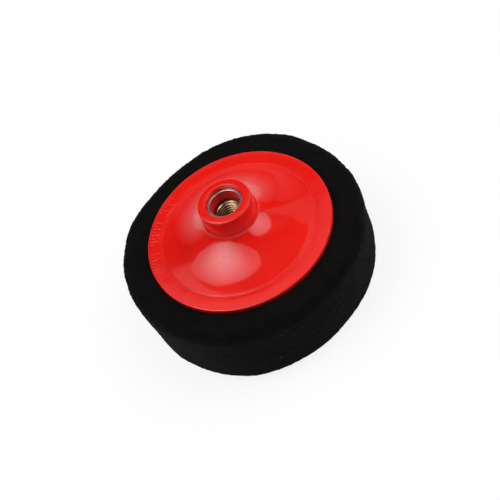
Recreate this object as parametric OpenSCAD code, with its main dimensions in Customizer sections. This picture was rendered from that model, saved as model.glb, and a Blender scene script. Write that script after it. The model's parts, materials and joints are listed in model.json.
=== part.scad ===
// Foam polishing pad on a moulded backing plate that screws onto a polisher's spindle.
// Millimetres, +Z up along the spindle axis, origin at the centre of the working face.

/* [Foam pad] */
// Diameter of the foam at its shoulder, before the edge is rounded
foam_d = 150; // [125:1:180]
// How far the foam's side leans in from the shoulder to the working face
foam_taper = 1.5; // [0:0.5:5]
// Thickness of the foam
foam_h = 45; // [30:0.5:60]
// Rounding of the shoulder
shoulder_round = 6; // [3:0.5:7]
// Rounding around the working face
face_round = 6; // [3:0.5:10]

/* [Adhesive] */
// Thickness of the adhesive film
film_t = 0.4; // [0.2:0.1:1]
// Distance from the edge of the film to the edge of the plate
film_inset = 1; // [0.5:0.5:4]

/* [Backing plate] */
// Diameter of the plate
plate_d = 115; // [96:1:138]
// Thickness of the flat rim
rim_t = 2.8; // [1.7:0.1:3.5]
// Width of the flat rim
rim_w = 9.5; // [7.5:0.5:14]
// Rounding of the upper edge of the rim
rim_round = 0.6; // [0.3:0.1:1]
// Height of the step up from the rim to the dome
step_h = 0.5; // [0.3:0.1:2]
// Slope of the dome where it reaches the step, in degrees
step_slope = 3; // [1:0.5:8]
// Rounding of the edge of the step
step_round = 0.4; // [0.2:0.1:0.9]
// Height above the rim at which the dome meets the hub
dome_h = 14.3; // [12:0.1:18]
// Wall of the dome
shell_t = 2.4; // [1.8:0.1:3]
// Number of radial ribs under the dome
rib_count = 12; // [6:1:18]
// Thickness of the ribs under the dome
rib_t = 1.8; // [1.2:0.1:2.4]
// Diameter of the ring rib under the dome
ring_rib_d = 62; // [52:1:74]

/* [Hub] */
// Diameter of the hub at its top, before the edge is rounded
hub_d = 32; // [27:0.5:39]
// Height of the hub above the rim
hub_h = 27.3; // [23:0.1:34]
// Draft of the hub's wall, in degrees
hub_draft = 5; // [2:0.5:7]
// Rounding of the hub's upper edge
hub_round = 1; // [0.5:0.1:1.5]
// Fillet between the hub and the dome
hub_fillet = 1.6; // [0.8:0.1:2.4]
// Diameter of the recess in the hub's mouth
mouth_d = 22; // [18:0.5:26]
// Depth of the recess, down to the seat ring
mouth_depth = 2.4; // [1.5:0.1:3.5]
// Rounding of the mouth's edge
mouth_round = 0.8; // [0.3:0.1:1.2]
// Width of the ledge under the seat ring
ledge_w = 1.7; // [1.2:0.1:2]
// Wall of the boss around the insert, under the dome
boss_wall = 3; // [2:0.1:4]
// Thickness of the floor that closes the boss under the insert
floor_t = 3.2; // [2:0.1:4.5]

/* [Threaded insert] */
// Nominal diameter of the spindle thread
thread_d = 14; // [10:1:16]
// Pitch of the spindle thread
thread_pitch = 2; // [1:0.25:2]
// Diameter over the knurls
insert_d = 21; // [19:0.5:25]
// Length of the insert
insert_h = 17; // [13:0.5:19]
// Depth of the knurls
knurl_depth = 0.5; // [0.3:0.1:0.8]
// Number of knurl teeth around the insert
knurl_teeth = 30; // [18:1:36]
// Width of the groove between the two knurled bands
groove_w = 3; // [2:0.5:4]
// Depth of the groove, below the knurl roots
groove_depth = 0.8; // [0.4:0.1:1]

/* [Seat ring] */
// Thickness of the steel seat ring
ring_t = 1.5; // [1:0.1:2]
// How far the ring's seat stands in from the wall of the recess above it
ring_step = 0.2; // [0.1:0.1:0.5]
// Radial width of the seat ring
ring_w = 1.8; // [1.3:0.1:2.3]

/* [Moulded marks] */
// Height of the raised marks on the rim
mark_h = 0.3; // [0.2:0.1:0.5]
// Width of a mark
mark_w = 0.9; // [0.6:0.1:1.2]
// Length of a long mark
mark_len = 5.4; // [4:0.1:6]
// Length of a short mark
mark_short_len = 2.7; // [2:0.1:3.5]
// Angle from one long mark to the next
mark_step = 5; // [4:0.5:7]
// Direction of the first mark, seen from above
mark_start = 120; // [90:5:180]

/* [Hidden] */
$fn = 96;

// A cut runs this far past the surface that it opens
past = 1;
// A raised mark is rooted this far into the rim
mark_root = 0.3;
// Long marks in each group; one step is left free between groups
mark_groups = [3, 4, 3];
// A 60 degree thread's minor diameter is smaller than its nominal one by this many pitches
minor_factor = 1.0825;
// How far the lead-in opens beyond the thread's nominal radius
lead_in = 0.2;
// A mark's outer end lies this far inside the rim's edge
mark_inset = 1.6;
// Facets around the large arc of the dome
arc_fn = 360;

// Levels
plate_z = foam_h + film_t;
rim_z = plate_z + rim_t;
hub_z = rim_z + hub_h;
ring_z = hub_z - mouth_depth - ring_t;
insert_z = plate_z + floor_t;
insert_top_z = insert_z + insert_h;

// Radii
plate_r = plate_d / 2;
dome_r = plate_r - rim_w;
hub_r = hub_d / 2;
mouth_r = mouth_d / 2;
ring_r = mouth_r - ring_step;
relief_r = mouth_r - ledge_w;
insert_r = insert_d / 2;
boss_r = insert_r + boss_wall;
thread_minor_r = (thread_d - minor_factor * thread_pitch) / 2;
lead_in_r = thread_d / 2 + lead_in;

// The foam's side leans in towards the working face
foam_lean = atan2(foam_taper, foam_h);

// Radius of the foam's side at height z
function foam_side(z) = foam_d / 2 - foam_taper * (1 - z / foam_h);

// Centre of an edge rounding that touches the foam's side, at height z
function foam_round_at(z, radius) = [foam_side(z) - radius / cos(foam_lean), z];

// Radius of the hub's drafted wall at height z
function hub_wall(z) = hub_r + (hub_z - z) * tan(hub_draft);

// The dome is one arc, steep at the hub and almost flat at the step
hub_foot_r = hub_wall(rim_z + dome_h);
chord = [dome_r - hub_foot_r, dome_h - step_h];
hub_slope = 2 * atan2(chord.y, chord.x) - step_slope;
dome_arc_r = norm(chord) / (2 * sin((hub_slope - step_slope) / 2));
dome_arc_at = [
    dome_r + dome_arc_r * sin(step_slope),
    rim_z + step_h + dome_arc_r * cos(step_slope)
];

// Fillet that touches the hub's wall and the dome's arc: its drop below the arc's centre is
// the positive root of a quadratic
fillet_k = hub_wall(dome_arc_at.y) + hub_fillet / cos(hub_draft) - dome_arc_at.x;
fillet_t = tan(hub_draft);
fillet_reach = dome_arc_r - hub_fillet;
fillet_root = sqrt((1 + fillet_t ^ 2) * fillet_reach ^ 2 - fillet_k ^ 2);
fillet_drop = (fillet_root - fillet_k * fillet_t) / (1 + fillet_t ^ 2);
fillet_at = dome_arc_at + [fillet_k + fillet_drop * fillet_t, -fillet_drop];
fillet_on_hub = fillet_at - hub_fillet * [cos(hub_draft), sin(hub_draft)];
fillet_on_dome = dome_arc_at + (fillet_at - dome_arc_at) * dome_arc_r / fillet_reach;

// Rounding that touches the dome's arc and the wall of the step
step_reach = dome_arc_r + step_round;
step_offset = dome_arc_at.x - dome_r + step_round;
step_at = dome_arc_at - [step_offset, sqrt(step_reach ^ 2 - step_offset ^ 2)];
step_on_dome = dome_arc_at + (step_at - dome_arc_at) * dome_arc_r / step_reach;

// Half section of the foam
module foam_section() {
    upper = foam_round_at(foam_h - shoulder_round, shoulder_round);
    lower = foam_round_at(face_round, face_round);
    lean = [cos(foam_lean), -sin(foam_lean)];
    polygon([
        [0, 0],
        [lower.x, 0],
        lower + face_round * lean,
        upper + shoulder_round * lean,
        [upper.x, foam_h],
        [0, foam_h]
    ]);
    translate(upper) circle(shoulder_round);
    translate(lower) circle(face_round);
}

// Cutter that rounds a square outer edge at radius r and height z
module edge_round(r, z, radius) {
    difference() {
        translate([r - radius, z - radius]) square(radius + past);
        translate([r - radius, z - radius]) circle(radius);
    }
}

// Half section of the flat rim, full to the axis
module rim_section() {
    difference() {
        translate([0, plate_z]) square([plate_r, rim_t]);
        edge_round(plate_r, rim_z, rim_round);
    }
}

// Half section of the dome
module dome_section() {
    difference() {
        translate([0, plate_z]) square([dome_r, rim_t + dome_h]);
        translate(dome_arc_at) circle(dome_arc_r, $fn = arc_fn);
        difference() {
            polygon([
                step_at,
                step_on_dome,
                step_on_dome + [0, past],
                [dome_r + past, step_on_dome.y + past],
                [dome_r + past, step_at.y]
            ]);
            translate(step_at) circle(step_round);
        }
    }
}

// Half section of the hub, solid to the axis
module hub_section() {
    edge = [hub_wall(hub_z - hub_round) - hub_round / cos(hub_draft), hub_z - hub_round];
    polygon([
        [0, plate_z],
        [hub_foot_r, plate_z],
        [hub_foot_r, rim_z + dome_h],
        edge + hub_round * [cos(hub_draft), sin(hub_draft)],
        [edge.x, hub_z],
        [0, hub_z]
    ]);
    translate(edge) circle(hub_round);
}

// Half section of the fillet around the hub's foot
module fillet_section() {
    difference() {
        polygon([
            fillet_on_hub,
            fillet_on_hub - [hub_fillet, 0],
            [fillet_on_hub.x - hub_fillet, fillet_on_dome.y - hub_fillet],
            fillet_on_dome - [0, hub_fillet],
            fillet_on_dome
        ]);
        translate(fillet_at) circle(hub_fillet);
    }
}

// Half section of the hub's open middle: mouth, ring seat and relief down to the insert
module mouth_section() {
    translate([0, ring_z + ring_t]) square([mouth_r, mouth_depth + past]);
    translate([0, ring_z]) square([ring_r, ring_t + past]);
    translate([0, insert_top_z]) square([relief_r, ring_z - insert_top_z + past]);
    difference() {
        translate([0, hub_z - mouth_round]) square([mouth_r + mouth_round, mouth_round + past]);
        translate([mouth_r + mouth_round, hub_z - mouth_round]) circle(mouth_round);
    }
}

// The hollow under the dome, left as pockets between ribs
module rib_pockets() {
    difference() {
        rotate_extrude() difference() {
            translate([boss_r, plate_z - past])
                square([dome_r - shell_t - boss_r, hub_h]);
            translate(dome_arc_at) circle(dome_arc_r + shell_t, $fn = arc_fn);
            translate([(ring_rib_d - rib_t) / 2, plate_z - past]) square([rib_t, hub_h]);
        }
        for (i = [0 : rib_count - 1]) {
            rotate(i * 360 / rib_count)
                translate([0, -rib_t / 2, plate_z - past])
                cube([dome_r, rib_t, hub_h]);
        }
    }
}

// One raised radial mark
module mark(length) {
    translate([plate_r - mark_inset - length, -mark_w / 2, rim_z - mark_root])
        cube([length, mark_w, mark_root + mark_h]);
}

// Steps from the first mark to the first one of a group
function group_start(g) = g == 0 ? 0 : group_start(g - 1) + mark_groups[g - 1] + 1;

// Plain graduation of long and short marks, in groups
module marks() {
    for (g = [0 : len(mark_groups) - 1], i = [0 : mark_groups[g] - 1]) {
        turn = mark_start + (group_start(g) + i) * mark_step;
        rotate(turn) mark(mark_len);
        rotate(turn + mark_step / 2) mark(mark_short_len);
    }
}

// Outer shape of the insert: two knurled bands with a groove between them
module insert_envelope() {
    band_h = (insert_h - groove_w) / 2;
    root_r = insert_r - knurl_depth;
    translate([0, 0, insert_z]) knurled_band(band_h, root_r);
    translate([0, 0, insert_z + band_h]) cylinder(h = groove_w, r = root_r - groove_depth);
    translate([0, 0, insert_z + band_h + groove_w]) knurled_band(band_h, root_r);
}

module knurled_band(height, root_r) {
    linear_extrude(height) polygon([
        for (i = [0 : 2 * knurl_teeth - 1])
            let (r = i % 2 == 0 ? insert_r : root_r, a = i * 180 / knurl_teeth)
            r * [cos(a), sin(a)]
    ]);
}

module foam_pad() {
    color("#1b1b1c") rotate_extrude() foam_section();
}

module bond_layer() {
    color("#d8cfa8") translate([0, 0, foam_h]) cylinder(h = film_t, r = plate_r - film_inset);
}

module backing_plate() {
    color("#e0201a") difference() {
        union() {
            rotate_extrude() difference() {
                union() {
                    rim_section();
                    dome_section();
                    hub_section();
                    fillet_section();
                }
                mouth_section();
            }
            marks();
        }
        insert_envelope();
        rib_pockets();
    }
}

module threaded_insert() {
    lead_h = lead_in_r - thread_minor_r;
    color("#c9a24b") difference() {
        insert_envelope();
        translate([0, 0, insert_z - past]) cylinder(h = insert_h + 2 * past, r = thread_minor_r);
        translate([0, 0, insert_top_z - lead_h])
            cylinder(h = lead_h, r1 = thread_minor_r, r2 = lead_in_r);
        translate([0, 0, insert_z]) cylinder(h = lead_h, r1 = lead_in_r, r2 = thread_minor_r);
    }
}

module seat_ring() {
    color("#b9bcc0") translate([0, 0, ring_z]) difference() {
        cylinder(h = ring_t, r = ring_r);
        translate([0, 0, -past]) cylinder(h = ring_t + 2 * past, r = ring_r - ring_w);
    }
}

foam_pad();
bond_layer();
backing_plate();
threaded_insert();
seat_ring();
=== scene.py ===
"""Foam polishing pad on a red moulded backing plate that screws onto a polisher's spindle."""

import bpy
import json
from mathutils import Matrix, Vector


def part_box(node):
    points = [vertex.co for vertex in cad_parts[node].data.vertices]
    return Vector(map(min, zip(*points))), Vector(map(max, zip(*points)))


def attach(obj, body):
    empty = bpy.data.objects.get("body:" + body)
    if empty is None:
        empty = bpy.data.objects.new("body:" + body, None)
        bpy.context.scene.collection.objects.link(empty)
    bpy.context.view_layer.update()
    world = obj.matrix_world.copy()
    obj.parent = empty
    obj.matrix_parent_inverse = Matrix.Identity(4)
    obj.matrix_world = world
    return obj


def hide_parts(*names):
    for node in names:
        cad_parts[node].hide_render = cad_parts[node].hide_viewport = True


bl_info = {
    "name": "Foam Polishing Pad",
    "version": (1, 0, 0),
    "blender": (4, 5, 0),
    "location": "3D View > Sidebar > Polishing Pad",
    "description": "Builds a foam polishing pad, its backing plate and a plain studio",
    "category": "Add Mesh",
}

import json
import math

import bpy
from mathutils import Matrix, Vector, noise

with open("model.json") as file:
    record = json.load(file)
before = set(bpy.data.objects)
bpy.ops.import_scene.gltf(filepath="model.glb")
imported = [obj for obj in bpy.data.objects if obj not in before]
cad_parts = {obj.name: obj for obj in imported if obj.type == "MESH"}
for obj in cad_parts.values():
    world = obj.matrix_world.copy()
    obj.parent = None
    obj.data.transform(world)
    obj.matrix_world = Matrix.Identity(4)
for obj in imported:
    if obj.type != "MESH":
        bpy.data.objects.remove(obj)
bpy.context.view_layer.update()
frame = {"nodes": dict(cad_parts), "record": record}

BODY = "root"
MM = 0.001


def reach(node):
    """Outer radius, lowest level and highest level of a CAD node, in metres."""
    low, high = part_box(node)
    return high.x, low.z, high.z


def mount_radius(name):
    """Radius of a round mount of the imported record, in metres."""
    return next(m["dims"]["r_mm"] for m in frame["record"]["mounts"] if m["name"] == name) * MM


FOAM_R, FOAM_LOW, FOAM_TOP = reach("foam_pad")
PLATE_R, PLATE_LOW, HUB_TOP = reach("backing_plate")
INSERT_R, INSERT_LOW, INSERT_TOP = reach("threaded_insert")
RING_R, RING_LOW, RING_TOP = reach("seat_ring")
THREAD_MINOR_R = mount_radius("spindle_thread")
MOUTH_R = mount_radius("shoulder_recess")
RING_BORE_R = mount_radius("ring_bore")


# ------------------------------------------------------------------ sizes and colours


def length(label, about, millimetres):
    """A length in the sidebar, given in millimetres and kept in metres."""
    return bpy.props.FloatProperty(
        name=label, description=about, default=millimetres * MM, min=0.0, precision=5, unit="LENGTH"
    )


def angle(label, about, degrees):
    """An angle in the sidebar, given in degrees and kept in radians."""
    return bpy.props.FloatProperty(
        name=label, description=about, default=math.radians(degrees), subtype="ANGLE"
    )


def count(label, about, value):
    """A whole number in the sidebar."""
    return bpy.props.IntProperty(name=label, description=about, default=value, min=1)


def share(label, about, value):
    """A plain factor in the sidebar."""
    return bpy.props.FloatProperty(name=label, description=about, default=value, min=0.0)


def colour(label, about, red, green, blue):
    """A linear colour in the sidebar."""
    return bpy.props.FloatVectorProperty(
        name=label, description=about, default=(red, green, blue), min=0.0, max=1.0, subtype="COLOR"
    )


class PadSizes(bpy.types.PropertyGroup):
    """Sizes of the pad that its frame doesn't give."""

    foam_taper: length("Foam taper", "How far the foam's side leans in to the working face", 1.3)
    foam_round: length("Foam edge round", "Rounding of the foam's shoulder and lower edge", 6.0)
    foam_uneven: length("Foam unevenness", "How far the cut surface wanders in and out", 0.45)
    foam_grain: length("Foam grain", "Roughness of the cut cells", 0.3)
    rim_trim: length("Rim trim", "How far the trimmed rim stands inside the frame's plate", 0.5)
    rim_t: length("Rim thickness", "Thickness of the plate's flat rim", 2.8)
    rim_w: length("Rim width", "Width of the plate's flat rim", 9.5)
    rim_round: length("Rim round", "Rounding of the rim's upper edge", 0.6)
    step_h: length("Step height", "Step up from the rim to the dome", 0.5)
    step_round: length("Step round", "Rounding of the step's edge", 0.5)
    step_foot: length("Step foot", "Hollow rounding between the rim and the step", 0.4)
    step_slope: angle("Step slope", "Slope of the dome where it reaches the step", 3.0)
    dome_h: length("Dome height", "Height above the rim at which the dome meets the hub", 14.3)
    shell_t: length("Shell thickness", "Wall of the dome", 2.4)
    ring_rib_r: length("Ring rib radius", "Middle of the ring rib under the dome", 31.0)
    rib_t: length("Rib thickness", "Thickness of the ribs under the dome", 1.8)
    rib_count: count("Ribs", "Number of radial ribs under the dome", 12)
    hub_r: length("Hub radius", "Radius of the hub at its top", 16.0)
    hub_draft: angle("Hub draft", "Draft of the hub's wall", 5.0)
    hub_round: length("Hub round", "Rounding of the hub's upper edge", 1.0)
    hub_fillet: length("Hub fillet", "Fillet between the hub and the dome", 1.6)
    mouth_round: length("Mouth round", "Rounding of the mouth's edge", 0.8)
    relief_r: length("Relief radius", "Radius of the bore between the ring and the insert", 9.3)
    boss_wall: length("Boss wall", "Wall of the boss round the insert", 3.0)
    rim_dish: length("Rim dish", "How far the middle of the rim stands up after moulding", 0.15)
    gate_r: length("Gate radius", "Distance of the gate mark from the spindle", 25.6)
    gate_turn: angle("Gate direction", "Direction of the gate mark", -127.1)
    gate_w: length("Gate width", "Width of the gate mark", 1.3)
    gate_h: length("Gate height", "Height of the gate mark", 0.09)
    mark_h: length("Mark height", "Height of the raised marks on the rim", 0.26)
    mark_w: length("Mark width", "Width of a raised mark", 0.9)
    mark_long: length("Long mark", "Length of a long mark", 5.4)
    mark_short: length("Short mark", "Length of a short mark", 2.7)
    mark_inset: length("Mark inset", "Distance from a mark's outer end to the rim's edge", 1.6)
    mark_start: angle("First mark", "Direction of the first mark", 120.0)
    mark_step: angle("Mark spacing", "Angle from one long mark to the next", 5.0)
    pitch: length("Thread pitch", "Pitch of the spindle thread", 2.0)
    thread_r: length("Thread radius", "Nominal radius of the spindle thread", 7.0)
    lead_in: length("Lead-in", "How far the thread's lead-in opens beyond its nominal radius", 0.2)
    knurl_depth: length("Knurl depth", "Depth of the knurls round the insert", 0.5)
    knurl_teeth: count("Knurl teeth", "Number of knurl teeth round the insert", 30)
    groove_w: length("Groove width", "Width of the groove between the knurled bands", 3.0)
    groove_depth: length("Groove depth", "Depth of the groove below the knurl roots", 0.8)
    ring_edge: length("Ring edge", "Broken edge of the steel ring", 0.35)


class PadColours(bpy.types.PropertyGroup):
    """Colours of the pad's materials."""

    foam_top: colour("Foam face", "Cut faces of the foam", 0.0022, 0.0019, 0.0017)
    # The side's colour is lighter than the top's: partly a paler cut skin, partly painted light.
    foam_side_skin_and_painted_light: colour("Foam side", "Side of the foam", 0.0026, 0.0021, 0.0022)
    lint: colour("Lint", "Specks of lint on the foam", 0.16, 0.16, 0.15)
    plastic: colour("Red plastic", "Moulded plastic of the plate", 0.785, 0.0100, 0.0060)
    # Painted shade: a deeper red for the plastic in the hub's bore.
    plastic_bore_painted_shade: colour(
        "Red plastic in the bore", "Matt plastic below the seat ring", 0.85, 0.004, 0.003
    )
    brass: colour("Brass", "Turned brass of the insert", 0.60, 0.42, 0.25)
    # Painted shade: the dark brass stands in for the shade in the thread's grooves and on the
    # insert's top face.
    brass_painted_shade: colour("Dark brass", "Brass in the thread's roots", 0.11, 0.06, 0.025)
    # Painted reflection: the steel's colour is tinted pink by the red plastic that it would mirror.
    steel: colour("Steel", "Steel of the seat ring", 0.77, 0.53, 0.53)
    adhesive: colour("Adhesive", "Film between the foam and the plate", 0.66, 0.58, 0.38)
    floor: colour("Floor", "Studio floor", 0.90, 0.90, 0.90)


class StudioSettings(bpy.types.PropertyGroup):
    """Camera and lights."""

    camera_distance: length("Camera distance", "From the point aimed at to the camera", 708.0)
    camera_height: angle("Camera elevation", "Angle of the view above the horizon", 50.81)
    camera_roll: angle("Camera roll", "Clockwise turn of the camera about its own axis", 29.155)
    aim_side: length("Aim sideways", "Point aimed at, towards -X from the spindle", 0.3)
    aim_front: length("Aim forward", "Point aimed at, towards -Y from the spindle", 10.1)
    aim_level: length("Aim level", "Height of the point aimed at", 37.1)
    lens: bpy.props.FloatProperty(
        name="Lens",
        description="Focal length in millimetres",
        default=86.4,
        min=1.0,
        subtype="DISTANCE_CAMERA",
    )
    light_distance: length("Light distance", "From the pad to the light panels", 1600.0)
    light_level: share("Light level", "Strength of all the light panels together", 1.0)


# ------------------------------------------------------------------ mesh helpers


ON_AXIS = 1e-7
QUARTER = math.pi / 2
CREASE = math.radians(35)
PLATE_SEGMENTS = 360
FOAM_SEGMENTS = 600
RING_SEGMENTS = 192
FLOOR_SEGMENTS = 64


def arc(centre, radius, first, last, steps):
    """Points round a circle from one angle to another, both included, in radians."""
    turns = [first + (last - first) * i / steps for i in range(steps + 1)]
    return [(centre[0] + radius * math.cos(t), centre[1] + radius * math.sin(t)) for t in turns]


def run(start, end, steps):
    """Points along a straight line, without its two ends."""
    across = end[0] - start[0]
    up = end[1] - start[1]
    shares = [i / steps for i in range(1, steps)]
    return [(start[0] + across * s, start[1] + up * s) for s in shares]


def skin(rings, closed=False):
    """Vertices and faces of a skin over rings of points; a ring of one point closes it there."""
    around = max(len(ring) for ring in rings)
    verts = []
    rows = []
    for ring in rings:
        first = len(verts)
        verts.extend(ring)
        rows.append([first] * around if len(ring) == 1 else range(first, len(verts)))
    if closed:
        rows.append(rows[0])
    faces = []
    for lower, upper in zip(rows, rows[1:]):
        for i in range(around):
            j = (i + 1) % around
            corners = dict.fromkeys((lower[i], lower[j], upper[j], upper[i]))
            faces.append(tuple(corners))
    return verts, faces


def revolve(outline, segments, closed=False):
    """Vertices and faces made by turning a half section of (radius, height) round the axis."""
    turns = [math.tau * i / segments for i in range(segments)]
    rings = []
    for radius, height in outline:
        if radius < ON_AXIS:
            rings.append([(0.0, 0.0, height)])
        else:
            rings.append([(radius * math.cos(t), radius * math.sin(t), height) for t in turns])
    return skin(rings, closed)


def turned(verts, turn):
    """Points turned round the spindle's axis."""
    spin = Matrix.Rotation(turn, 3, "Z")
    return [tuple(spin @ Vector(v)) for v in verts]


def joined(parts):
    """One list of vertices and one of faces from several (vertices, faces) pairs."""
    verts = []
    faces = []
    for part_verts, part_faces in parts:
        first = len(verts)
        verts.extend(part_verts)
        faces.extend(tuple(first + i for i in face) for face in part_faces)
    return verts, faces


def new_mesh(name, verts, faces, material):
    """A mesh with one material."""
    mesh = bpy.data.meshes.new(name)
    mesh.from_pydata(verts, [], faces)
    mesh.materials.append(material)
    return mesh


def add_object(name, data):
    """A new object in the scene that holds the given data."""
    added = bpy.data.objects.new(name, data)
    bpy.context.scene.collection.objects.link(added)
    return added


def add_piece(name, verts, faces, material):
    """A smooth-shaded mesh object whose corners sharper than the crease stay crisp."""
    mesh = new_mesh(name, verts, faces, material)
    mesh.shade_smooth()
    mesh.set_sharp_from_angle(angle=CREASE)
    return add_object(name, mesh)


def even_shading(piece):
    """Lets the broad faces set the shading, so that flats stay flat beside small roundings."""
    even = piece.modifiers.new("even_shading", "WEIGHTED_NORMAL")
    even.keep_sharp = True


# ------------------------------------------------------------------ shader helpers


WHITE = (1.0, 1.0, 1.0, 1.0)
FULL = (0.0, 1.0)
# The values that nearly all of a noise field lies between
NOISE_SPAN = (0.3, 0.7)


def fill(tree, socket, value):
    """Wires a socket to another one, or sets it to a plain value."""
    if isinstance(value, bpy.types.NodeSocket):
        tree.links.new(value, socket)
    else:
        socket.default_value = value


def wire(tree, target, inputs):
    """Fills the named sockets of a node."""
    for key, value in inputs.items():
        fill(tree, target.inputs[key], value)


def node(tree, kind, inputs=None, **settings):
    """A shader node with its settings and its filled sockets."""
    added = tree.nodes.new("ShaderNode" + kind)
    for key, value in settings.items():
        setattr(added, key, value)
    wire(tree, added, inputs or {})
    return added


def new_material(name):
    """An empty node material with its output, and a Principled shader wired to it."""
    material = bpy.data.materials.new(name)
    material.use_nodes = True
    tree = material.node_tree
    tree.nodes.clear()
    node(tree, "OutputMaterial")
    shader = node(tree, "BsdfPrincipled")
    show(tree, shader)
    return material, tree, shader


def show(tree, shader):
    """Wires a shader to the material's output."""
    output = next(n for n in tree.nodes if n.type == "OUTPUT_MATERIAL")
    tree.links.new(shader.outputs[0], output.inputs["Surface"])


def object_place(tree):
    """The surface point in the object's own coordinates, in metres."""
    return node(tree, "TexCoord").outputs["Object"]


def spindle_distance(tree, place):
    """Distance of the surface point from the spindle's axis."""
    across = node(tree, "SeparateXYZ", {"Vector": place}).outputs
    flat = node(tree, "CombineXYZ", {"X": across["X"], "Y": across["Y"]}).outputs[0]
    return node(tree, "VectorMath", {0: flat}, operation="LENGTH").outputs["Value"]


def combined(tree, operation, first, second):
    """Two numbers put together by one of the Math node's operations."""
    return node(tree, "Math", {0: first, 1: second}, operation=operation).outputs[0]


def noise_field(tree, place, size, detail=2.0, roughness=0.5):
    """Noise whose features are about the given size, from 0 to 1."""
    inputs = {"Vector": place, "Scale": 1.0 / size, "Detail": detail, "Roughness": roughness}
    return node(tree, "TexNoise", inputs).outputs["Fac"]


def cell_field(tree, place, size, **settings):
    """The outputs of a pattern of cells that are about the given size."""
    return node(tree, "TexVoronoi", {"Vector": place, "Scale": 1.0 / size}, **settings).outputs


def between(tree, value, source, target):
    """Maps the source's range of values to the target's, smoothly and clamped."""
    inputs = {"Value": value, "From Min": source[0], "From Max": source[1]}
    inputs |= {"To Min": target[0], "To Max": target[1]}
    return node(tree, "MapRange", inputs, interpolation_type="SMOOTHSTEP").outputs["Result"]


def blended(tree, factor, first, second):
    """A colour between two others."""
    mix = node(tree, "Mix", data_type="RGBA")
    for key, value in (("Factor", factor), ("A", first), ("B", second)):
        fill(tree, next(s for s in mix.inputs if s.name == key and s.enabled), value)
    return next(s for s in mix.outputs if s.enabled)


def rgba(rgb, factor=1.0):
    """A linear colour with its alpha, made lighter or darker by a factor."""
    return (*(channel * factor for channel in rgb), 1.0)


def bump(tree, height, depth, under=None):
    """A bump of the given depth in metres, over another one if there is one."""
    inputs = {"Height": height, "Distance": depth, "Strength": 1.0}
    if under is not None:
        inputs["Normal"] = under
    return node(tree, "Bump", inputs).outputs["Normal"]


def turning_marks(tree, place, size, distortion):
    """The bump of the fine rings that a lathe tool leaves round the axis."""
    depth = 0.004 * MM
    inputs = {"Vector": place, "Scale": 1.0 / size, "Distortion": distortion, "Detail": 2.0}
    rings = node(tree, "TexWave", inputs, wave_type="RINGS", rings_direction="Z")
    return bump(tree, rings.outputs["Fac"], depth)


# ------------------------------------------------------------------ materials


def foam_material(colours):
    """Black open-cell foam with a little lint; the cells' middles are painted darker and their
    struts lighter as painted shade and light, and the side is painted lighter than the top, partly
    a paler cut skin and partly painted light.
    """
    cell = 0.8 * MM
    bend_size = 2.5 * MM
    bend_reach = 0.5 * MM
    strut_height = 0.22 * MM
    # How much darker the pores' middles and lighter the struts are painted: painted shade and light
    strut_width = (0.02, 0.28)
    pore_shade_tones = (0.45, 1.5)
    mottle_size = 9 * MM
    mottle_tones = (0.75, 1.2)
    side_to_top = (0.55, 0.85)
    lint_spacing = 7 * MM
    lint_size = (0.03, 0.06)
    lint_rarity = (0.8, 0.82)
    material, tree, shader = new_material("foam_open_cell")
    place = object_place(tree)

    bend = node(tree, "TexNoise", {"Vector": place, "Scale": 1.0 / bend_size, "Detail": 1.0})
    stretch = {0: bend.outputs["Color"], 1: (bend_reach,) * 3}
    shift = node(tree, "VectorMath", stretch, operation="MULTIPLY").outputs[0]
    wander = node(tree, "VectorMath", {0: place, 1: shift}, operation="ADD").outputs[0]
    cells = cell_field(tree, wander, cell, feature="DISTANCE_TO_EDGE")["Distance"]
    struts = between(tree, cells, strut_width, (1.0, 0.0))

    # The side is painted lighter than the top, picked by the surface's direction: partly a paler
    # cut skin, partly painted light.
    normal = node(tree, "NewGeometry").outputs["Normal"]
    up = node(tree, "SeparateXYZ", {"Vector": normal}).outputs["Z"]
    level = node(tree, "Math", {0: up}, operation="ABSOLUTE").outputs[0]
    side_skin_and_painted_light = between(tree, level, side_to_top, (1.0, 0.0))
    base = blended(tree, side_skin_and_painted_light, rgba(colours.foam_top), rgba(colours.foam_side_skin_and_painted_light))
    mottle = noise_field(tree, place, mottle_size, 4.0, 0.65)
    mottled = between(tree, mottle, NOISE_SPAN, mottle_tones)
    # Painted shade and light: the cells' middles are painted darker and their struts lighter.
    grain_and_painted_pore_shade = between(tree, struts, FULL, pore_shade_tones)
    tone = combined(tree, "MULTIPLY", mottled, grain_and_painted_pore_shade)
    cell_tone = node(tree, "VectorMath", {0: base, "Scale": tone}, operation="SCALE").outputs[0]

    spread = cell_field(tree, place, lint_spacing)
    small = between(tree, spread["Distance"], lint_size, (1.0, 0.0))
    chance = node(tree, "SeparateColor", {"Color": spread["Color"]}).outputs["Red"]
    rare = between(tree, chance, lint_rarity, FULL)
    speck = combined(tree, "MULTIPLY", small, rare)
    finish = {
        "Base Color": blended(tree, speck, cell_tone, rgba(colours.lint)),
        "Roughness": 0.95,
        "Specular IOR Level": 0.06,
        "Sheen Weight": 0.014,
        "Sheen Roughness": 0.45,
        "Normal": bump(tree, struts, strut_height),
    }
    wire(tree, shader, finish)
    return material


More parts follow.
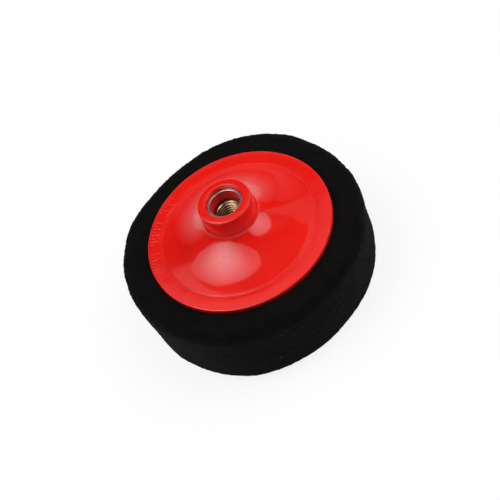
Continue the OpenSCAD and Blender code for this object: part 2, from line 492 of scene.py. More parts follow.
def plastic_material(colours):
    """Glossy red moulded plastic with faint flow marks; matt inside the hub, where its red is
    painted deeper as painted shade in the bore.
    """
    inside_mouth = (MOUTH_R - 0.5 * MM, MOUTH_R - 0.2 * MM)
    outside_mouth = (MOUTH_R + 0.1 * MM, MOUTH_R + 0.5 * MM)
    mouth_roughness = 0.22
    bore_roughness = 0.7
    gloss_roughness = (0.08, 0.12)
    flow_depth = 0.12 * MM
    fine_depth = 0.002 * MM
    material, tree, shader = new_material("red_gloss_plastic")
    place = object_place(tree)
    radius = spindle_distance(tree, place)
    in_bore_matt_and_painted_shade = between(tree, radius, inside_mouth, (1.0, 0.0))
    in_mouth = between(tree, radius, outside_mouth, (mouth_roughness, 0.0))
    matt = between(tree, in_bore_matt_and_painted_shade, FULL, (0.0, bore_roughness))
    worn = combined(tree, "MAXIMUM", in_mouth, matt)
    flow = noise_field(tree, place, 16 * MM, 3.0, 0.5)
    fine = noise_field(tree, place, 1.2 * MM, 2.0, 0.5)
    handled = noise_field(tree, place, 5 * MM, 5.0, 0.7)
    gloss = between(tree, handled, (0.35, 0.75), gloss_roughness)
    streaks = between(tree, flow, NOISE_SPAN, FULL)
    streaked = blended(tree, streaks, rgba(colours.plastic, 0.97), rgba(colours.plastic, 1.03))
    finish = {
        # Inside the hub the red is painted deeper: painted shade in the bore.
        "Base Color": blended(tree, in_bore_matt_and_painted_shade, streaked, rgba(colours.plastic_bore_painted_shade)),
        "Roughness": combined(tree, "MAXIMUM", worn, gloss),
        "IOR": 1.5,
        "Specular Tint": (0.75, 1.0, 1.0, 1.0),
        "Normal": bump(tree, fine, fine_depth, bump(tree, flow, flow_depth)),
    }
    wire(tree, shader, finish)
    return material


def brass_material(colours):
    """Turned brass, its own colour on the thread's crests, with painted shade of uneven strength in
    the thread's grooves and on its top face.
    """
    crest_to_root = (THREAD_MINOR_R + 0.02 * MM, THREAD_MINOR_R + 0.3 * MM)
    under_lead_in = (INSERT_TOP - 0.7 * MM, INSERT_TOP - 0.4 * MM)
    at_top = (INSERT_TOP - 0.1 * MM, INSERT_TOP - 0.05 * MM)
    shade_strength_range = (0.75, 1.0)
    roughness = (0.27, 0.34)
    material, tree, shader = new_material("turned_brass")
    place = object_place(tree)
    level = node(tree, "SeparateXYZ", {"Vector": place}).outputs["Z"]
    # Painted shade: the thread below its crests and the insert's top face are darkened.
    root = between(tree, spindle_distance(tree, place), crest_to_root, FULL)
    below = between(tree, level, under_lead_in, (1.0, 0.0))
    in_thread = combined(tree, "MULTIPLY", root, below)
    flat_top = between(tree, level, at_top, FULL)
    painted_shade_places = combined(tree, "MAXIMUM", in_thread, flat_top)
    shade_patches = noise_field(tree, place, 1.5 * MM, 4.0, 0.7)
    uneven_shade_strength = between(tree, shade_patches, NOISE_SPAN, shade_strength_range)
    uneven_painted_shade = combined(tree, "MULTIPLY", painted_shade_places, uneven_shade_strength)
    wear = noise_field(tree, place, 0.7 * MM, 3.0, 0.6)
    finish = {
        "Base Color": blended(tree, uneven_painted_shade, rgba(colours.brass), rgba(colours.brass_painted_shade)),
        "Metallic": 1.0,
        "Roughness": between(tree, wear, NOISE_SPAN, roughness),
        "Normal": turning_marks(tree, place, 1.6 * MM, 0.6),
    }
    wire(tree, shader, finish)
    return material


def steel_material(colours):
    """Turned steel with fine rings and a little tarnish, its colour tinted pink as a painted
    reflection of the red plastic round it.
    """
    roughness = (0.14, 0.26)
    material, tree, shader = new_material("turned_steel")
    place = object_place(tree)
    patches = noise_field(tree, place, 2.5 * MM, 4.0, 0.6)
    tarnish = between(tree, patches, (0.35, 0.7), FULL)
    finish = {
        "Base Color": blended(tree, tarnish, rgba(colours.steel), rgba(colours.steel, 0.72)),
        "Metallic": 1.0,
        "Roughness": between(tree, tarnish, FULL, roughness),
        "Normal": turning_marks(tree, place, 0.9 * MM, 0.4),
    }
    wire(tree, shader, finish)
    return material


def adhesive_material(colours):
    """Cured contact adhesive: cream, slightly glossy, with small bubbles."""
    roughness = (0.35, 0.55)
    bubble_depth = 0.05 * MM
    material, tree, shader = new_material("cured_adhesive")
    place = object_place(tree)
    bubbles = cell_field(tree, place, 1.4 * MM)["Distance"]
    cloudy = noise_field(tree, place, 4 * MM, 4.0, 0.6)
    thin = rgba(colours.adhesive, 0.8)
    thick = rgba(colours.adhesive, 1.1)
    finish = {
        "Base Color": blended(tree, cloudy, thin, thick),
        "Roughness": between(tree, cloudy, NOISE_SPAN, roughness),
        "Normal": bump(tree, bubbles, bubble_depth),
    }
    wire(tree, shader, finish)
    return material


def floor_material(colours):
    """Pale floor that keeps the pad's shadow, is white further away and open from below."""
    near_white = 0.85
    far_at = 1.8 * FOAM_R
    material, tree, shader = new_material("studio_floor")
    place = object_place(tree)
    grain_and_painted_pore_shade = noise_field(tree, place, 3 * MM, 3.0, 0.5)
    finish = {
        "Base Color": blended(tree, grain_and_painted_pore_shade, rgba(colours.floor, 0.99), rgba(colours.floor)),
        "Roughness": 0.9,
        "Specular IOR Level": 0.1,
    }
    wire(tree, shader, finish)
    path = node(tree, "LightPath")
    seen = path.outputs["Is Camera Ray"]
    for ray in ("Is Glossy Ray", "Is Transmission Ray"):
        seen = combined(tree, "MAXIMUM", seen, path.outputs[ray])
    distance = node(tree, "VectorMath", {0: place}, operation="LENGTH").outputs["Value"]
    far = between(tree, distance, (FOAM_R, far_at), (near_white, 1.0))
    whiteness = combined(tree, "MULTIPLY", seen, far)
    white = node(tree, "Emission", {"Color": WHITE, "Strength": 1.0}).outputs[0]
    topside = node(tree, "MixShader", {0: whiteness, 1: shader.outputs[0], 2: white}).outputs[0]
    below = node(tree, "NewGeometry").outputs["Backfacing"]
    clear = node(tree, "BsdfTransparent").outputs[0]
    show(tree, node(tree, "MixShader", {0: below, 1: topside, 2: clear}))
    return material


# ------------------------------------------------------------------ foam


# The hand-cut foam's bulges and flats: direction in degrees, height from 0 at the working face
# to 1 at the shoulder, how far out it stands in millimetres, and its spread in degrees
LUMPS = (
    (155, 1.0, 1.4, 26),
    (118, 1.0, -1.7, 18),
    (72, 1.0, 1.3, 24),
    (-55, 0.0, -1.7, 34),
    (-126, 0.0, 1.9, 22),
    (10, 0.8, -0.5, 20),
    (97, 1.0, -1.3, 15),
    (48, 1.0, 0.8, 14),
    (134, 1.0, 0.7, 13),
    (-20, 0.5, -0.7, 14),
    (-68, 0.0, -0.8, 12),
    (-136, 0.0, -0.9, 12),
)
# Share of the foam's height over which a bulge or a flat fades out
LUMP_REACH = 0.95
# Sizes of the cut surface's waves and of its grain
WANDER_SIZE = 14 * MM
GRAIN_SIZES = (2.3 * MM, 1.1 * MM)


def foam_outline(sizes):
    """Half section of the foam, from the middle of its working face to the middle of its top."""
    height = FOAM_TOP - FOAM_LOW
    edge = sizes.foam_round
    lean = math.atan2(sizes.foam_taper, height)
    under_plate = PLATE_R - 3 * MM

    def centre(level):
        side = FOAM_R - sizes.foam_taper * (FOAM_TOP - edge - level) / height
        return side - edge / math.cos(lean), level

    lower = centre(FOAM_LOW + edge)
    upper = centre(FOAM_TOP - edge)
    low_round = arc(lower, edge, -QUARTER, -lean, steps=12)
    high_round = arc(upper, edge, -lean, QUARTER, steps=12)
    points = [(0.0, FOAM_LOW)]
    points += run((0.0, FOAM_LOW), (lower[0], FOAM_LOW), steps=34)
    points += low_round
    points += run(low_round[-1], high_round[0], steps=46)
    points += high_round
    points += run((upper[0], FOAM_TOP), (under_plate, FOAM_TOP), steps=18)
    points += [(under_plate * inward, FOAM_TOP) for inward in (1.0, 0.8, 0.5, 0.25, 0.0)]
    return points


def lump_push(turn, high):
    """How far the bulges and flats push the foam out, at an angle and a share of its height."""
    push = 0.0
    for direction, at_height, out, spread in LUMPS:
        away = math.remainder(turn - math.radians(direction), math.tau) / math.radians(spread)
        weight = max(0.0, 1.0 - abs(high - at_height) / LUMP_REACH)
        push += out * MM * weight * math.exp(-away * away)
    return push


def shape_foam(verts, sizes):
    """Moves the turned block's points to those of a hand-cut one with rough, open cells."""
    height = FOAM_TOP - FOAM_LOW
    # The foam keeps its place under the plate and moves freely outside its own shoulder
    held = PLATE_R + 1 * MM
    free = FOAM_R - sizes.foam_round
    # The top waves less than the side and lies a little lower; the working face stays above
    # its level, with half the grain
    top_wave = 0.6
    top_drop = 0.3 * sizes.foam_grain
    face_grain = 0.5
    face_lift = 0.1 * sizes.foam_grain
    shaped = []
    for x, y, z in verts:
        radius = math.hypot(x, y)
        high = (z - FOAM_LOW) / height
        outward = min(1.0, max(0.0, (radius - held) / (free - held)))
        point = Vector((x, y, z))
        wander = noise.noise(point / WANDER_SIZE) * sizes.foam_uneven
        rough = sum(noise.noise(point / size) for size in GRAIN_SIZES) * sizes.foam_grain
        out = outward * (lump_push(math.atan2(y, x), high) + wander) + rough * outward
        if radius > ON_AXIS:
            x += x / radius * out
            y += y / radius * out
        if high > 0.5 and radius > held:
            z += (rough + top_wave * wander) * outward - top_drop
        elif high < 0.5:
            z = max(FOAM_LOW, z + face_grain * rough + face_lift)
        shaped.append((x, y, z))
    return shaped


def make_foam(sizes, colours):
    """The foam pad: one block of open-cell foam with a rounded shoulder and working edge."""
    verts, faces = revolve(foam_outline(sizes), FOAM_SEGMENTS)
    foam = add_piece("foam_pad_cut", shape_foam(verts, sizes), faces, foam_material(colours))
    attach(foam, BODY)
    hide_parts("foam_pad")


# ------------------------------------------------------------------ backing plate


class PlateSection:
    """Radii, levels and arcs of the backing plate's half section."""

    def __init__(self, sizes):
        self.sizes = sizes
        self.rim_z = PLATE_LOW + sizes.rim_t
        self.rim_r = PLATE_R - sizes.rim_trim
        self.dome_r = self.rim_r - sizes.rim_w
        self.boss_r = INSERT_R + sizes.boss_wall
        foot_z = self.rim_z + sizes.dome_h
        across = self.dome_r - self.hub_wall(foot_z)
        rise = sizes.dome_h - sizes.step_h
        hub_slope = 2 * math.atan2(rise, across) - sizes.step_slope
        half_turn = (hub_slope - sizes.step_slope) / 2
        self.arc_r = math.hypot(across, rise) / (2 * math.sin(half_turn))
        self.arc_at = (
            self.dome_r + self.arc_r * math.sin(sizes.step_slope),
            self.rim_z + sizes.step_h + self.arc_r * math.cos(sizes.step_slope),
        )

    def hub_wall(self, level):
        """Radius of the hub's drafted wall at a level."""
        return self.sizes.hub_r + (HUB_TOP - level) * math.tan(self.sizes.hub_draft)

    def under_dome(self, radius):
        """Level of the dome's underside at a radius."""
        reach_r = self.arc_r + self.sizes.shell_t
        return self.arc_at[1] - math.sqrt(reach_r**2 - (radius - self.arc_at[0]) ** 2)

    def hub_fillet(self):
        """Points of the fillet between the hub's wall and the dome, from the dome to the hub."""
        fillet = self.sizes.hub_fillet
        draft = self.sizes.hub_draft
        slope = math.tan(draft)
        offset = self.hub_wall(self.arc_at[1]) + fillet / math.cos(draft) - self.arc_at[0]
        span = self.arc_r - fillet
        drop = math.sqrt((1 + slope**2) * span**2 - offset**2) - offset * slope
        drop /= 1 + slope**2
        at = (self.arc_at[0] + offset + drop * slope, self.arc_at[1] - drop)
        to_dome = math.atan2(-drop, offset + drop * slope) % math.tau
        return arc(at, fillet, to_dome, math.pi + draft, steps=10), to_dome

    def step_edge(self):
        """Points of the step, from the rim up its hollow foot and over its edge to the dome."""
        radius = self.sizes.step_round
        foot = self.sizes.step_foot
        offset = self.arc_at[0] - self.dome_r + radius
        drop = math.sqrt((self.arc_r + radius) ** 2 - offset**2)
        at = (self.arc_at[0] - offset, self.arc_at[1] - drop)
        climb = math.asin((self.rim_z + foot - at[1]) / (radius + foot))
        foot_at = (at[0] + (radius + foot) * math.cos(climb), self.rim_z + foot)
        to_dome = math.atan2(drop, offset)
        points = arc(foot_at, foot, 3 * QUARTER, math.pi + climb, steps=7)
        points += arc(at, radius, climb, to_dome, steps=7)[1:]
        return points, to_dome + math.pi


def pocket_outline(section):
    """Underside of the plate, from the axis out past the boss and the ring rib to the rim."""
    sizes = section.sizes
    rib_in = sizes.ring_rib_r - sizes.rib_t / 2
    rib_out = sizes.ring_rib_r + sizes.rib_t / 2
    wall = section.dome_r - sizes.shell_t
    steps = 12
    points = [(0.0, PLATE_LOW), (section.boss_r, PLATE_LOW)]
    for start, end in ((section.boss_r, rib_in), (rib_out, wall)):
        roof = [start + (end - start) * i / steps for i in range(steps + 1)]
        points += [(radius, section.under_dome(radius)) for radius in roof]
        points.append((end, PLATE_LOW))
        if end == rib_in:
            points.append((rib_out, PLATE_LOW))
    return points


def plate_outline(section):
    """Half section of the plate: underside, rim, dome, hub, mouth and the insert's seat."""
    sizes = section.sizes
    rim_r = section.rim_r
    rim_z = section.rim_z
    edge = sizes.rim_round
    low_edge = 0.2 * MM
    hub_round = sizes.hub_round
    mouth_round = sizes.mouth_round
    fillet, at_hub = section.hub_fillet()
    step, at_step = section.step_edge()
    hub_side = section.hub_wall(HUB_TOP - hub_round) - hub_round / math.cos(sizes.hub_draft)
    hub_at = (hub_side, HUB_TOP - hub_round)
    hub_corner = arc(hub_at, hub_round, sizes.hub_draft, QUARTER, steps=8)
    mouth_at = (MOUTH_R + mouth_round, HUB_TOP - mouth_round)
    mouth_corner = arc(mouth_at, mouth_round, QUARTER, math.pi, steps=7)

    points = pocket_outline(section)
    points += arc((rim_r - low_edge, PLATE_LOW + low_edge), low_edge, -QUARTER, 0.0, steps=4)
    points += arc((rim_r - edge, rim_z - edge), edge, 0.0, QUARTER, steps=8)
    points += run((rim_r - edge, rim_z), step[0], steps=12)
    points += step
    points += arc(section.arc_at, section.arc_r, at_step, at_hub, steps=56)[1:-1]
    points += fillet
    points += run(fillet[-1], hub_corner[0], steps=10)
    points += hub_corner
    points += run(hub_corner[-1], mouth_corner[0], steps=4)
    points += mouth_corner
    points += [
        (MOUTH_R, RING_TOP),
        (RING_R, RING_TOP),
        (RING_R, RING_LOW),
        (sizes.relief_r, RING_LOW),
        (sizes.relief_r, INSERT_TOP),
        (INSERT_R, INSERT_TOP),
        (INSERT_R, INSERT_LOW),
        (0.0, INSERT_LOW),
    ]
    return points


def rib_block(section, turn):
    """One radial rib under the dome, let into the boss, the shell and the rim's wall."""
    sizes = section.sizes
    into = 0.4 * MM
    first = section.boss_r - into
    last = section.dome_r - sizes.shell_t + into
    steps = 14
    radii = [first + (last - first) * i / steps for i in range(steps + 1)]
    outline = [(first, PLATE_LOW), (last, PLATE_LOW)]
    outline += [(radius, section.under_dome(radius) + into) for radius in reversed(radii)]
    verts = []
    for side in (-sizes.rib_t / 2, sizes.rib_t / 2):
        verts += [(radius, side, level) for radius, level in outline]
    number = len(outline)
    faces = [tuple(range(number)), tuple(reversed(range(number, 2 * number)))]
    faces += [(i, i + number, (i + 1) % number + number, (i + 1) % number) for i in range(number)]
    return turned(verts, turn), faces


# Rings of points up a raised mark: shares of its height and of its width
MARK_RINGS = ((-0.2, 1.0), (0.35, 0.96), (0.75, 0.82), (0.95, 0.6), (1.0, 0.3))
# Long marks in each group of the graduation; one step is left free between groups
MARK_GROUPS = (3, 4, 3)


def raised_mark(section, turn, mark_length):
    """One raised mark: a round-ended bar with softened top edges, let into the rim."""
    sizes = section.sizes
    half_w = sizes.mark_w / 2
    outer = section.rim_r - sizes.mark_inset - half_w
    inner = outer - mark_length + sizes.mark_w
    rings = []
    for tall, wide in MARK_RINGS:
        level = section.rim_z + tall * sizes.mark_h
        right = arc((outer, 0.0), half_w * wide, -QUARTER, QUARTER, steps=8)
        left = arc((inner, 0.0), half_w * wide, QUARTER, 3 * QUARTER, steps=8)
        rings.append([(x, y, level) for x, y in right + left])
    verts, faces = skin(rings)
    around = len(rings[0])
    faces += [tuple(range(len(verts) - around, len(verts))), tuple(reversed(range(around)))]
    return turned(verts, turn), faces


def graduation(section):
    """All the raised marks: groups of long marks, each followed by a short one."""
    sizes = section.sizes
    marks = []
    turn = sizes.mark_start
    for group in MARK_GROUPS:
        for _ in range(group):
            marks.append(raised_mark(section, turn, sizes.mark_long))
            marks.append(raised_mark(section, turn + sizes.mark_step / 2, sizes.mark_short))
            turn += sizes.mark_step
        turn += sizes.mark_step
    return marks


# Rings of points from the gate mark's foot in to its dimple: shares of its radius and height
GATE_RINGS = (
    (1.25, -0.25), (1.1, 0.1), (0.9, 0.85), (0.7, 1.0), (0.5, 0.8), (0.25, 0.25), (0.0, 0.1),
)


def gate_mark(section):
    """The small nub with a dimple that the moulding gate left on the dome."""
    sizes = section.sizes
    radius = sizes.gate_r
    drop = math.sqrt(section.arc_r**2 - (section.arc_at[0] - radius) ** 2)
    foot = Vector((radius, 0.0, section.arc_at[1] - drop))
    up = (Vector((section.arc_at[0], 0.0, section.arc_at[1])) - foot).normalized()
    along = Vector((up.z, 0.0, -up.x))
    around = 24
    rings = []
    for wide, tall in GATE_RINGS:
        ring = []
        for i in range(around if wide else 1):
            turn = math.tau * i / around
            across = along * math.cos(turn) + Vector((0.0, math.sin(turn), 0.0))
            ring.append(foot + across * wide * sizes.gate_w / 2 + up * tall * sizes.gate_h)
        rings.append(ring)
    verts, faces = skin(rings)
    return turned(verts, sizes.gate_turn), faces


def dish_rim(verts, section):
    """Raises the middle of the rim's upper side a little and unevenly, as moulding leaves it."""
    sizes = section.sizes
    swing = 0.25
    waves = 3
    first_wave = 1.0
    ripple_size = 9 * MM
    dished = []
    for x, y, z in verts:
        radius = math.hypot(x, y)
        if z > section.rim_z - sizes.rim_round and radius > section.dome_r:
            wave = math.sin(waves * math.atan2(y, x) + first_wave)
            ripple = noise.noise(Vector((x, y, 0.0)) / ripple_size)
            uneven = 1.0 - swing + swing * wave + swing * ripple
            across = min(1.0, (radius - section.dome_r) / sizes.rim_w)
            z += sizes.rim_dish * uneven * math.sin(math.pi * across)
        dished.append((x, y, z))
    return dished


def make_plate(sizes, colours):
    """The moulded plate: rim, dome, hub, ribs and raised marks in one glossy piece."""
    section = PlateSection(sizes)
    parts = [revolve(plate_outline(section), PLATE_SEGMENTS)]
    parts += [rib_block(section, math.tau * i / sizes.rib_count) for i in range(sizes.rib_count)]
    parts += graduation(section)
    parts.append(gate_mark(section))
    verts, faces = joined(parts)
    verts = dish_rim(verts, section)
    plate = add_piece("backing_plate_moulded", verts, faces, plastic_material(colours))
    even_shading(plate)
    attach(plate, BODY)
    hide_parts("backing_plate")


# ------------------------------------------------------------------ insert, ring and film


def thread_radius(turn, level, sizes):
    """Radius of the internal 60 degree thread at an angle and a level."""
    flank_slope = math.tan(math.radians(30))
    phase = (level / sizes.pitch - turn / math.tau) % 1.0
    away = abs(phase - 0.5) * sizes.pitch
    crest = sizes.pitch / 8
    depth = sizes.thread_r - THREAD_MINOR_R
    flank = depth * flank_slope
    rise = min(1.0, max(0.0, (away - crest) / flank))
    return THREAD_MINOR_R + depth * rise


def insert_rows(sizes):
    """Rows round the insert: up the thread, out over the top and down the knurled outside."""
    mouth_r = sizes.thread_r + sizes.lead_in
    lead = mouth_r - THREAD_MINOR_R
    root_r = INSERT_R - sizes.knurl_depth
    middle = (INSERT_LOW + INSERT_TOP) / 2
    groove = (middle - sizes.groove_w / 2, middle + sizes.groove_w / 2)
    bevel = 0.3 * MM
    end_r = mouth_r + 0.12 * MM
    rows_per_turn = 18

    def inside(level):
        from_end = min(level - INSERT_LOW, INSERT_TOP - level)
        cone = mouth_r - from_end if from_end < lead else 0.0
        return lambda turn: (max(cone, thread_radius(turn, level, sizes)), level)

    def knurled(level):
        def at(turn):
            tooth = abs((turn / math.tau * sizes.knurl_teeth) % 1.0 - 0.5) * 2
            return root_r + sizes.knurl_depth * tooth, level

        return at

    def plain(radius, level):
        return lambda turn: (radius, level)

    height = INSERT_TOP - INSERT_LOW
    steps = round(height / sizes.pitch * rows_per_turn)
    rows = [inside(INSERT_LOW + height * i / steps) for i in range(steps + 1)]
    rows += [plain(end_r, INSERT_TOP), plain(root_r - bevel, INSERT_TOP)]
    rows += [plain(root_r, INSERT_TOP - bevel), knurled(INSERT_TOP - 2 * bevel), knurled(groove[1])]
    rows += [plain(root_r - sizes.groove_depth, level) for level in (groove[1], groove[0])]
    rows += [knurled(groove[0]), knurled(INSERT_LOW + 2 * bevel), plain(root_r, INSERT_LOW + bevel)]
    rows += [plain(root_r - bevel, INSERT_LOW), plain(end_r, INSERT_LOW)]
    return rows


def make_insert(sizes, colours):
    """The brass insert with its real helical thread and two knurled bands."""
    points_per_tooth = 6
    columns = sizes.knurl_teeth * points_per_tooth
    rings = []
    for row in reversed(insert_rows(sizes)):
        ring = []
        for i in range(columns):
            turn = math.tau * i / columns
            radius, level = row(turn)
            ring.append((radius * math.cos(turn), radius * math.sin(turn), level))
        rings.append(ring)
    verts, faces = skin(rings, closed=True)
    insert = add_piece("threaded_insert_brass", verts, faces, brass_material(colours))
    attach(insert, BODY)
    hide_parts("threaded_insert")


def make_ring(sizes, colours):
    """The steel ring that the spindle's shoulder seats on, with broken edges."""
    edge = sizes.ring_edge
    play = 0.02 * MM
    inner = RING_BORE_R + edge
    outer = RING_R - play - edge
    low = RING_LOW + edge
    high = RING_TOP - edge
    outline = arc((inner, low), edge, math.pi, 3 * QUARTER, steps=4)
    outline += arc((outer, low), edge, -QUARTER, 0.0, steps=4)
    outline += arc((outer, high), edge, 0.0, QUARTER, steps=4)
    outline += run((outer, RING_TOP), (inner, RING_TOP), steps=4)
    outline += arc((inner, high), edge, QUARTER, math.pi, steps=4)
    verts, faces = revolve(outline, RING_SEGMENTS, closed=True)
    ring = add_piece("seat_ring_steel", verts, faces, steel_material(colours))
    even_shading(ring)
    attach(ring, BODY)
    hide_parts("seat_ring")


def finish_film(colours):
    """The adhesive film keeps its CAD shape and gets its own material."""
    film = frame["nodes"]["bond_layer"]
    film.data.materials.clear()
    film.data.materials.append(adhesive_material(colours))


# ------------------------------------------------------------------ studio


# Light panels, which show only in gloss. Corners and bright spot are directions from the pad:
# degrees towards +X and towards +Y, measured from straight up. Spread is the bright spot's size
# in degrees, core the share of it that is evenly bright, and facing the way that a wall stands.
PANELS = (
    {
        "name": "key_panel",
        "corners": (
            (-50, 30), (-30, 31), (-15, 20), (-8, 9), (0, 0), (4, -8), (6, -20), (1, -30),
            (-9, -37), (-21, -38), (-36, -35), (-50, -24), (-58, -10), (-62, 4), (-60, 17),
        ),
        "spot": (-36, -8),
        "spread": (31, 31),
        "edge": 1.3,
        "middle": 6.4,
    },
    {
        "name": "fill_panel",
        "corners": (
            (21, -46), (21.5, -35), (27.5, -25), (36, -15), (43.5, -5), (55, 5), (65, 15), (70, 2),
            (62, -20), (46, -38), (30, -50),
        ),
        "spot": (57, -32),
        "spread": (34, 34),
        "edge": 1.1,
        "middle": 4.4,
    },
    {
        "name": "overhead_strip",
        "corners": (
            (-26, 26), (-8, 26.5), (8, 26.5), (17, 28), (24, 23), (42, 23), (62, 14), (67, 20),
            (52, 31), (36, 36), (20, 37), (4, 38.5), (-12, 38.5), (-26, 37), (-36, 33),
        ),
        "spot": (-12, 31),
        "spread": (36, 16),
        "edge": 0.42,
        "middle": 0.95,
    },
    {
        "name": "back_wall",
        "facing": (0, 1, 0),
        "corners": ((-80, 40), (-64, 32), (0, 53), (64, 32), (80, 40)),
        "spot": (4, 88),
        "spread": (65, 33),
        "core": 0.23,
        "edge": 0.0,
        "middle": 0.66,
    },
    {
        "name": "back_corner",
        "corners": (
            (-14, 57), (-8, 48), (6, 44), (20, 38), (44, 38), (52, 47), (40, 53), (20, 56), (4, 58),
        ),
        "spot": (6, 60),
        "spread": (50, 24),
        "edge": 0.0,
        "middle": 0.5,
    },
    {
        "name": "front_wall",
        "facing": (0, -1, 0),
        "corners": ((-52, -70), (-36, -48), (0, -56), (36, -48), (52, -70)),
        "spot": (0, -74),
        "spread": (60, 34),
        "edge": 0.4,
        "middle": 1.2,
    },
)

# Lamps, which light everything but show in no gloss: direction in degrees towards +X and
# towards +Y from straight up, width in metres and power in watts
LAMPS = (
    {"name": "overhead_lamp", "at": (0, 5), "size": 1.4, "power": 11.0},
    {"name": "left_lamp", "at": (-40, 2), "size": 1.4, "power": 16.0},
    {"name": "right_lamp", "at": (60, -3), "size": 1.4, "power": 22.0},
)


def from_above(sideways, backwards):
    """Unit direction that lies so many degrees from straight up towards +X and towards +Y."""
    tilt = math.radians(math.hypot(sideways, backwards))
    turn = math.atan2(backwards, sideways)
    aside = math.sin(tilt)
    return Vector((aside * math.cos(turn), aside * math.sin(turn), math.cos(tilt)))


def panel_material(panel, level, distance):
    """Light that is brightest at the panel's own origin and falls off to its edge."""
    material, tree, shader = new_material(panel["name"])
    tree.nodes.remove(shader)
    reach_x, reach_y = (distance * math.tan(math.radians(s)) for s in panel["spread"])
    stretch = {0: object_place(tree), 1: (1 / reach_x, 1 / reach_y, 0.0)}
    scaled = node(tree, "VectorMath", stretch, operation="MULTIPLY").outputs[0]
    away = node(tree, "VectorMath", {0: scaled}, operation="LENGTH").outputs["Value"]
    inputs = {
        "Value": away,
        "From Min": panel.get("core", 0.0),
        "From Max": 1.0,
        "To Min": panel["middle"] * level,
        "To Max": panel["edge"] * level,
    }
    strength = node(tree, "MapRange", inputs).outputs["Result"]
    show(tree, node(tree, "Emission", {"Color": WHITE, "Strength": strength}))
    return material


def add_panel(panel, settings):
    """A flat light panel that shows only in the pad's gloss, never to the camera."""
    distance = settings.light_distance
    corners = [from_above(*corner) for corner in panel["corners"]]
    spot = from_above(*panel["spot"])
    facing = Vector(panel.get("facing") or sum(corners, Vector())).normalized()
    right = facing.cross(Vector((0.0, 0.0, 1.0))).normalized()
    up = right.cross(facing)
    origin = spot * distance / spot.dot(facing)
    verts = []
    for corner in corners:
        offset = corner * distance / corner.dot(facing) - origin
        verts.append((offset.dot(right), offset.dot(up), 0.0))
    material = panel_material(panel, settings.light_level, distance)
    mesh = new_mesh(panel["name"], verts, [tuple(range(len(verts)))], material)
    light = add_object(panel["name"], mesh)
    light.matrix_world = Matrix((right, up, -facing)).transposed().to_4x4()
    light.matrix_world.translation = origin
    light.visible_camera = False
    light.visible_diffuse = False


def add_lamp(lamp, settings):
    """A wide soft lamp that lights the pad without showing in its gloss."""
    direction = from_above(*lamp["at"])
    data = bpy.data.lights.new(lamp["name"], "AREA")
    data.shape = "SQUARE"
    data.size = lamp["size"]
    data.energy = lamp["power"] * settings.light_level
    light = add_object(lamp["name"], data)
    light.matrix_world = direction.to_track_quat("Z", "Y").to_matrix().to_4x4()
    light.matrix_world.translation = direction * settings.light_distance
    light.visible_camera = False
    light.visible_glossy = False


def add_world():
    """A dim room that brightens to a pale grey at the horizon."""
    world = bpy.data.worlds.new("studio_room")
    bpy.context.scene.world = world
    world.use_nodes = True
    tree = world.node_tree
    tree.nodes.clear()
    direction = node(tree, "TexCoord").outputs["Generated"]
    height = node(tree, "SeparateXYZ", {"Vector": direction}).outputs["Z"]
    horizon = (math.sin(math.radians(5)), math.sin(math.radians(13)))
    horizon_glow = 0.7
    room_glow = 0.03
    diffuse_share = 0.25
    glow = between(tree, height, horizon, (horizon_glow, room_glow))
    diffuse = node(tree, "LightPath").outputs["Is Diffuse Ray"]
    dimmed = between(tree, diffuse, FULL, (1.0, diffuse_share))
    strength = combined(tree, "MULTIPLY", glow, dimmed)
    room = node(tree, "Background", {"Color": WHITE, "Strength": strength})
    output = node(tree, "OutputWorld")
    tree.links.new(room.outputs[0], output.inputs["Surface"])


def add_floor(colours):
    """A wide pale floor a hair's breadth under the pad."""
    gap = 0.1 * MM
    radii = (0.0, 0.4, 3.0, 15.0)
    verts, faces = revolve([(radius, FOAM_LOW - gap) for radius in radii], FLOOR_SEGMENTS)
    floor = add_piece("floor", verts, [tuple(reversed(f)) for f in faces], floor_material(colours))


def add_camera(settings):
    """The camera, aimed at the pad from the front and above, and rolled clockwise."""
    aim = Vector((-settings.aim_side, -settings.aim_front, settings.aim_level))
    tilt = settings.camera_height
    back = Vector((0.0, -math.cos(tilt), math.sin(tilt)))
    data = bpy.data.cameras.new("camera")
    data.lens = settings.lens
    data.clip_end = 100.0
    camera = add_object("camera", data)
    turn = back.to_track_quat("Z", "Y").to_matrix() @ Matrix.Rotation(-settings.camera_roll, 3, "Z")
    camera.matrix_world = Matrix.Translation(aim + back * settings.camera_distance) @ turn.to_4x4()
    bpy.context.scene.camera = camera


# ------------------------------------------------------------------ operators and panel


class POLISHINGPAD_OT_foam(bpy.types.Operator):
    """Build the foam pad"""

    bl_idname = "polishing_pad.foam"
    bl_label = "Foam Pad"
    bl_options = {"REGISTER", "UNDO"}

    def execute(self, context):
        make_foam(context.scene.pad_sizes, context.scene.pad_colours)
        return {"FINISHED"}


class POLISHINGPAD_OT_film(bpy.types.Operator):
    """Finish the adhesive film between the foam and the plate"""

    bl_idname = "polishing_pad.film"
    bl_label = "Adhesive Film"
    bl_options = {"REGISTER", "UNDO"}

    def execute(self, context):
        finish_film(context.scene.pad_colours)
        return {"FINISHED"}


class POLISHINGPAD_OT_plate(bpy.types.Operator):
    """Build the moulded backing plate"""

    bl_idname = "polishing_pad.plate"
    bl_label = "Backing Plate"
    bl_options = {"REGISTER", "UNDO"}

    def execute(self, context):
        make_plate(context.scene.pad_sizes, context.scene.pad_colours)
        return {"FINISHED"}


class POLISHINGPAD_OT_insert(bpy.types.Operator):
    """Build the threaded brass insert"""

    bl_idname = "polishing_pad.insert"
    bl_label = "Threaded Insert"
    bl_options = {"REGISTER", "UNDO"}

    def execute(self, context):
        make_insert(context.scene.pad_sizes, context.scene.pad_colours)
        return {"FINISHED"}


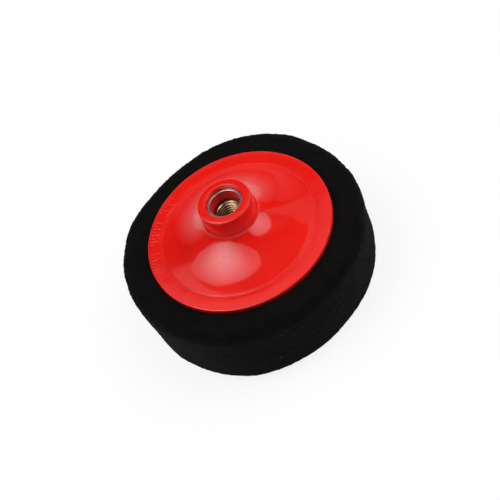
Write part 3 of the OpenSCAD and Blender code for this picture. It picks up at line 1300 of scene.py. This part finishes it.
class POLISHINGPAD_OT_ring(bpy.types.Operator):
    """Build the steel seat ring"""

    bl_idname = "polishing_pad.ring"
    bl_label = "Seat Ring"
    bl_options = {"REGISTER", "UNDO"}

    def execute(self, context):
        make_ring(context.scene.pad_sizes, context.scene.pad_colours)
        return {"FINISHED"}


class POLISHINGPAD_OT_studio(bpy.types.Operator):
    """Build the floor, the lights and the camera"""

    bl_idname = "polishing_pad.studio"
    bl_label = "Studio"
    bl_options = {"REGISTER", "UNDO"}

    def execute(self, context):
        scene = context.scene
        scene.view_settings.view_transform = "Standard"
        add_camera(scene.pad_studio)
        add_floor(scene.pad_colours)
        add_world()
        for panel in PANELS:
            add_panel(panel, scene.pad_studio)
        for lamp in LAMPS:
            add_lamp(lamp, scene.pad_studio)
        return {"FINISHED"}


OPERATORS = (
    POLISHINGPAD_OT_studio,
    POLISHINGPAD_OT_foam,
    POLISHINGPAD_OT_film,
    POLISHINGPAD_OT_plate,
    POLISHINGPAD_OT_insert,
    POLISHINGPAD_OT_ring,
)
GROUPS = {"pad_sizes": PadSizes, "pad_colours": PadColours, "pad_studio": StudioSettings}


class VIEW3D_PT_polishing_pad(bpy.types.Panel):
    """Buttons and settings of the polishing pad"""

    bl_label = "Polishing Pad"
    bl_space_type = "VIEW_3D"
    bl_region_type = "UI"
    bl_category = "Polishing Pad"

    def draw(self, context):
        for operator in OPERATORS:
            self.layout.operator(operator.bl_idname)
        for name, group in GROUPS.items():
            box = self.layout.box()
            for setting in group.__annotations__:
                box.prop(getattr(context.scene, name), setting)


def register():
    for cls in (*GROUPS.values(), *OPERATORS, VIEW3D_PT_polishing_pad):
        bpy.utils.register_class(cls)
    for name, group in GROUPS.items():
        setattr(bpy.types.Scene, name, bpy.props.PointerProperty(type=group))


def unregister():
    for name in GROUPS:
        delattr(bpy.types.Scene, name)
    for cls in (VIEW3D_PT_polishing_pad, *reversed(OPERATORS), *GROUPS.values()):
        bpy.utils.unregister_class(cls)


def main():
    register()
    for operator in OPERATORS:
        group, action = operator.bl_idname.split(".")
        getattr(getattr(bpy.ops, group), action)()


if __name__ == "__main__":
    main()
